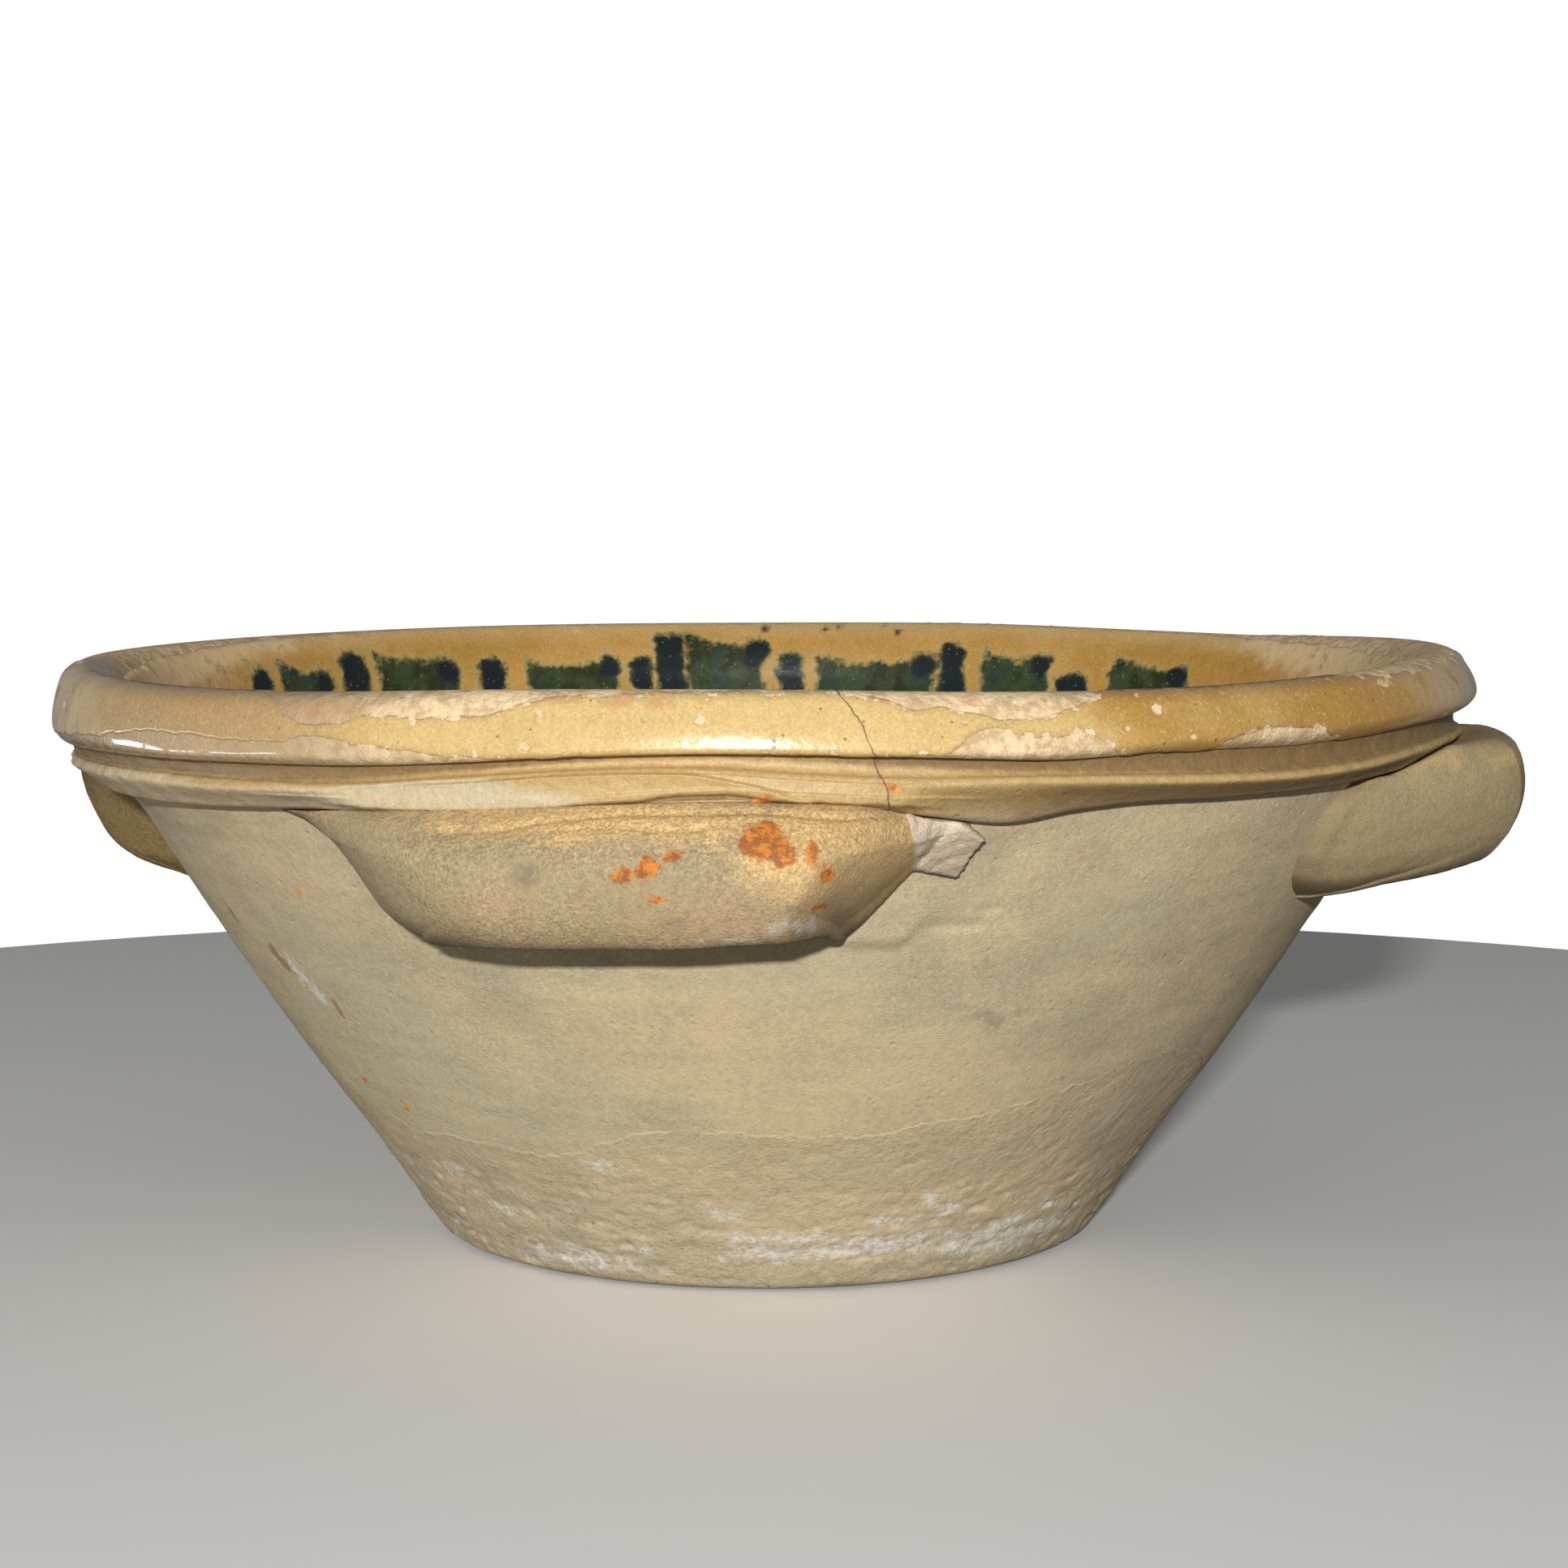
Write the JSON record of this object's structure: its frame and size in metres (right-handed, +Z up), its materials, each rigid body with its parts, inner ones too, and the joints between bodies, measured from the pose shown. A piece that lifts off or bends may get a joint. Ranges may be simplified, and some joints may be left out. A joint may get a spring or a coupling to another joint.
{
  "type": "ceramic basin",
  "caption": "Large flaring earthenware basin with a flat foot, rolled rim, collar and ear handles; ochre glaze with green strokes inside, bare buff clay outside.",
  "frame": {"origin": "centre of the flat foot, on the table", "axes": "+Z up along the axis of the bowl, -Y towards the front handle, +X towards the right handle"},
  "size_m": [0.5297, 0.53, 0.2062],
  "materials": {
    "bare_clay": "matte unglazed buff earthenware, fine grain",
    "collar_clay": "buff earthenware under a thin ochre wash",
    "handle_clay": "hand-pressed buff earthenware with rust spots",
    "bowl_glaze": "glossy ochre glaze with green brush strokes",
    "rim_glaze": "glossy pale ochre glaze, worn through in patches"
  },
  "bodies": {
    "root": {"base_dish": "bare_clay", "bowl_wall": "bare_clay", "collar_ridge": "collar_clay", "rim_roll": "bare_clay", "front_handle": "handle_clay", "right_handle": "handle_clay", "back_handle": "handle_clay", "left_handle": "handle_clay", "bowl_glaze": "bowl_glaze", "rim_glaze": "rim_glaze"}
  },
  "joints": []
}
